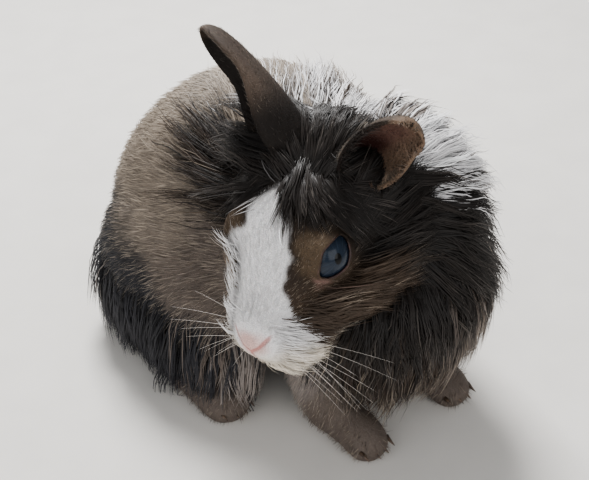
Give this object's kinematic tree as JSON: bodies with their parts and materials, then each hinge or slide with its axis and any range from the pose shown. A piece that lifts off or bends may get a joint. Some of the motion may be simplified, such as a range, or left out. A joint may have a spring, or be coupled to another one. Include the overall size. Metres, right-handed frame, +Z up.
{
  "type": "lionhead rabbit",
  "caption": "Still, life-size long-maned rabbit that crouches on four furred feet, its short ears spread and its head turned to its own right.",
  "frame": {"origin": "centre of the whole model in plan, on the floor under its feet", "axes": "-Y the way the body faces, +X the rabbit's left side, +Z up from the floor"},
  "size_m": [0.143, 0.2042, 0.1519],
  "materials": {
    "body_coat": "short ticked grey-brown fur",
    "mane_coat": "long soft wool, dark with white locks",
    "head_coat": "short fur, brown with a white blaze",
    "leg_coat": "dense dark fur",
    "ear_skin": "fine short fur outside, bare skin inside",
    "eye": "wet, clear over blue-grey"
  },
  "bodies": {
    "root": {"torso": "body_coat", "neck_mane": "mane_coat", "head": "head_coat", "ear_left": "ear_skin", "ear_right": "ear_skin", "eye_left": "eye", "eye_right": "eye", "foreleg_left": "leg_coat", "foreleg_right": "leg_coat", "hindleg_left": "leg_coat", "hindleg_right": "leg_coat", "tail": "body_coat"}
  },
  "joints": []
}
